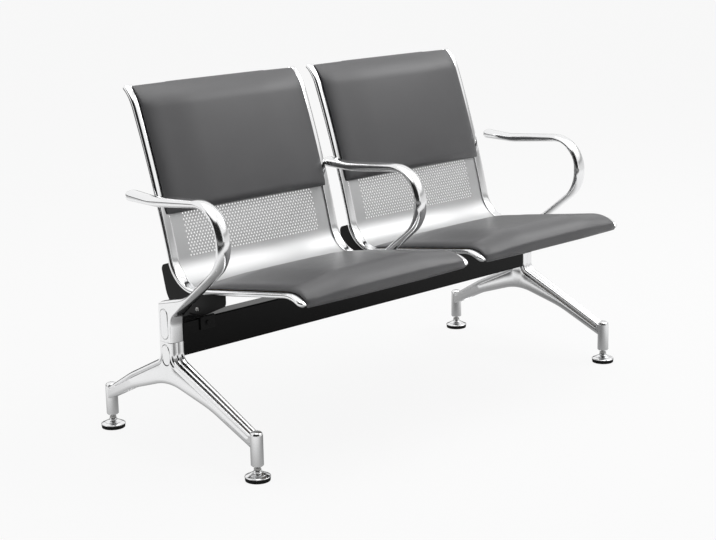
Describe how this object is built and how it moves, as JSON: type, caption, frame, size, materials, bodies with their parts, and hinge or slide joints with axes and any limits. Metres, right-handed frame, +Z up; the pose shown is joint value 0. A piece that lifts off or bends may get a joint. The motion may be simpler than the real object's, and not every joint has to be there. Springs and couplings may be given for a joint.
{
  "type": "beam seating bench",
  "caption": "Waiting bench on a beam, with padded seats on bent perforated shells, looped bright armrests and arched legs on levelling feet.",
  "frame": {"origin": "on the floor at the middle of the bench's outer box", "axes": "+X along the beam to the right of the picture, +Y towards the back of the seats, +Z up"},
  "size_m": [1.194, 0.6092, 0.7652],
  "materials": {
    "chrome": "polished chrome plating on steel",
    "bright_casting": "cast, polished and brightly plated",
    "silver_plate": "satin silver powder coat",
    "beam_black": "semi-gloss black coat",
    "support_black": "satin black powder coat",
    "leather": "grained grey upholstery leather",
    "board": "plywood",
    "rubber": "matt moulded rubber",
    "fastener": "zinc plated steel"
  },
  "bodies": {
    "frame": {"beam": "beam_black", "plug_left": "beam_black", "plug_screw_left": "fastener", "post_bolts_left": "fastener", "arm_left": "bright_casting", "leg_left": "bright_casting", "cap_lower_left": "bright_casting", "cap_upper_left": "bright_casting", "shell_left": "silver_plate", "pad_screws_left": "fastener", "shell_bolts_left": "fastener", "support_screws_left": "fastener", "seat_board_left": "board", "back_board_left": "board", "seat_pad_left": "leather", "back_pad_left": "leather", "rim_left_left": "chrome", "support_left_left": "support_black", "rim_left_right": "chrome", "support_left_right": "support_black", "plug_right": "beam_black", "plug_screw_right": "fastener", "post_bolts_right": "fastener", "arm_right": "bright_casting", "leg_right": "bright_casting", "cap_lower_right": "bright_casting", "cap_upper_right": "bright_casting", "shell_right": "silver_plate", "pad_screws_right": "fastener", "shell_bolts_right": "fastener", "support_screws_right": "fastener", "seat_board_right": "board", "back_board_right": "board", "seat_pad_right": "leather", "back_pad_right": "leather", "rim_right_left": "chrome", "support_right_left": "support_black", "rim_right_right": "chrome", "support_right_right": "support_black", "arm_center": "bright_casting", "arm_center_screws": "fastener", "foot_insert_front_left": "fastener", "foot_insert_rear_left": "fastener", "foot_insert_front_right": "fastener", "foot_insert_rear_right": "fastener"},
    "foot_front_left": {"foot_base_front_left": "rubber", "foot_cup_front_left": "chrome"},
    "stem_front_left": {"foot_stem_front_left": "fastener"},
    "foot_rear_left": {"foot_base_rear_left": "rubber", "foot_cup_rear_left": "chrome"},
    "stem_rear_left": {"foot_stem_rear_left": "fastener"},
    "foot_front_right": {"foot_base_front_right": "rubber", "foot_cup_front_right": "chrome"},
    "stem_front_right": {"foot_stem_front_right": "fastener"},
    "foot_rear_right": {"foot_base_rear_right": "rubber", "foot_cup_rear_right": "chrome"},
    "stem_rear_right": {"foot_stem_rear_right": "fastener"}
  },
  "joints": [
    {"name": "foot_height_front_left", "type": "slide", "parent": "frame", "child": "foot_front_left", "axis": [0, 0, 1], "range_m": [-0.015, 0.0045]},
    {"name": "stem_turn_front_left", "type": "hinge", "parent": "foot_front_left", "child": "stem_front_left", "pos_m": [-0.57, -0.21837, 0], "axis": [0, 0, 1], "range_deg": [-3600, 1080]},
    {"name": "foot_height_rear_left", "type": "slide", "parent": "frame", "child": "foot_rear_left", "axis": [0, 0, 1], "range_m": [-0.015, 0.0045]},
    {"name": "stem_turn_rear_left", "type": "hinge", "parent": "foot_rear_left", "child": "stem_rear_left", "pos_m": [-0.57, 0.27763, 0], "axis": [0, 0, 1], "range_deg": [-3600, 1080]},
    {"name": "foot_height_front_right", "type": "slide", "parent": "frame", "child": "foot_front_right", "axis": [0, 0, 1], "range_m": [-0.015, 0.0045]},
    {"name": "stem_turn_front_right", "type": "hinge", "parent": "foot_front_right", "child": "stem_front_right", "pos_m": [0.57, -0.21837, 0], "axis": [0, 0, 1], "range_deg": [-3600, 1080]},
    {"name": "foot_height_rear_right", "type": "slide", "parent": "frame", "child": "foot_rear_right", "axis": [0, 0, 1], "range_m": [-0.015, 0.0045]},
    {"name": "stem_turn_rear_right", "type": "hinge", "parent": "foot_rear_right", "child": "stem_rear_right", "pos_m": [0.57, 0.27763, 0], "axis": [0, 0, 1], "range_deg": [-3600, 1080]}
  ],
  "couplings": [
    {"joint": "stem_turn_front_left", "follows": "foot_height_front_left", "rad_per_m": 4188.8},
    {"joint": "stem_turn_rear_left", "follows": "foot_height_rear_left", "rad_per_m": 4188.8},
    {"joint": "stem_turn_front_right", "follows": "foot_height_front_right", "rad_per_m": 4188.8},
    {"joint": "stem_turn_rear_right", "follows": "foot_height_rear_right", "rad_per_m": 4188.8}
  ]
}
